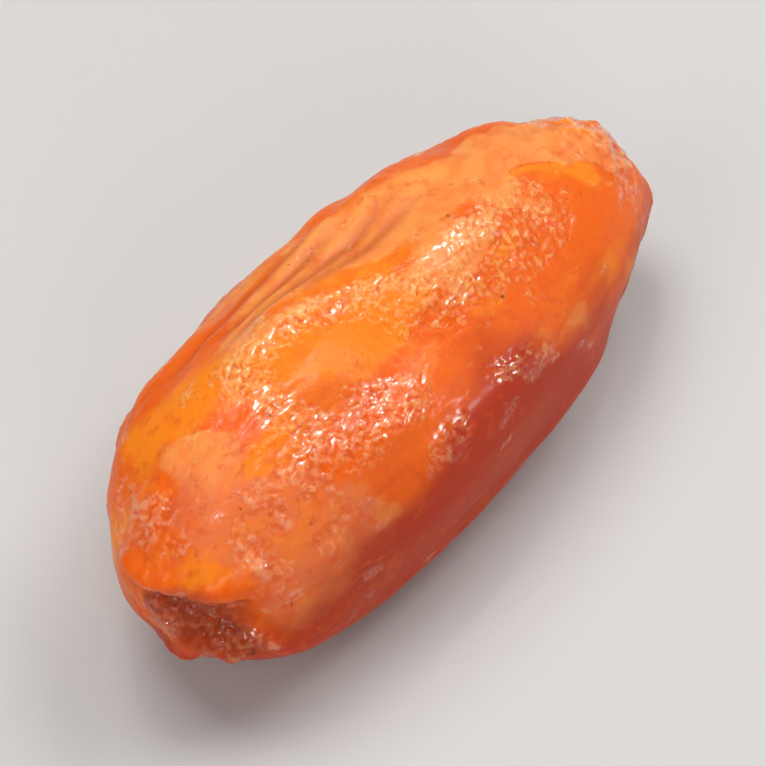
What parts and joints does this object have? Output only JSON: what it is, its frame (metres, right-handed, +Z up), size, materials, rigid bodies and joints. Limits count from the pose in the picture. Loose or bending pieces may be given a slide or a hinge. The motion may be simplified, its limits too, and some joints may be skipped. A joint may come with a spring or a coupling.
{
  "type": "prune",
  "caption": "Whole dried plum: a long, plump, wrinkled amber fruit with lengthwise folds, a puckered stalk hollow and a blunt blossom end, lying on its flattest side.",
  "frame": {"origin": "on the surface that the fruit lies on, under the middle of its bounding box", "axes": "+X along the fruit towards its blossom end, +Y across it to the smooth side, +Z up"},
  "size_m": [0.0446, 0.0206, 0.0178],
  "materials": {
    "flesh": "moist, syrupy and translucent, glossy on the ridges"
  },
  "bodies": {
    "root": {"prune": "flesh"}
  },
  "joints": []
}
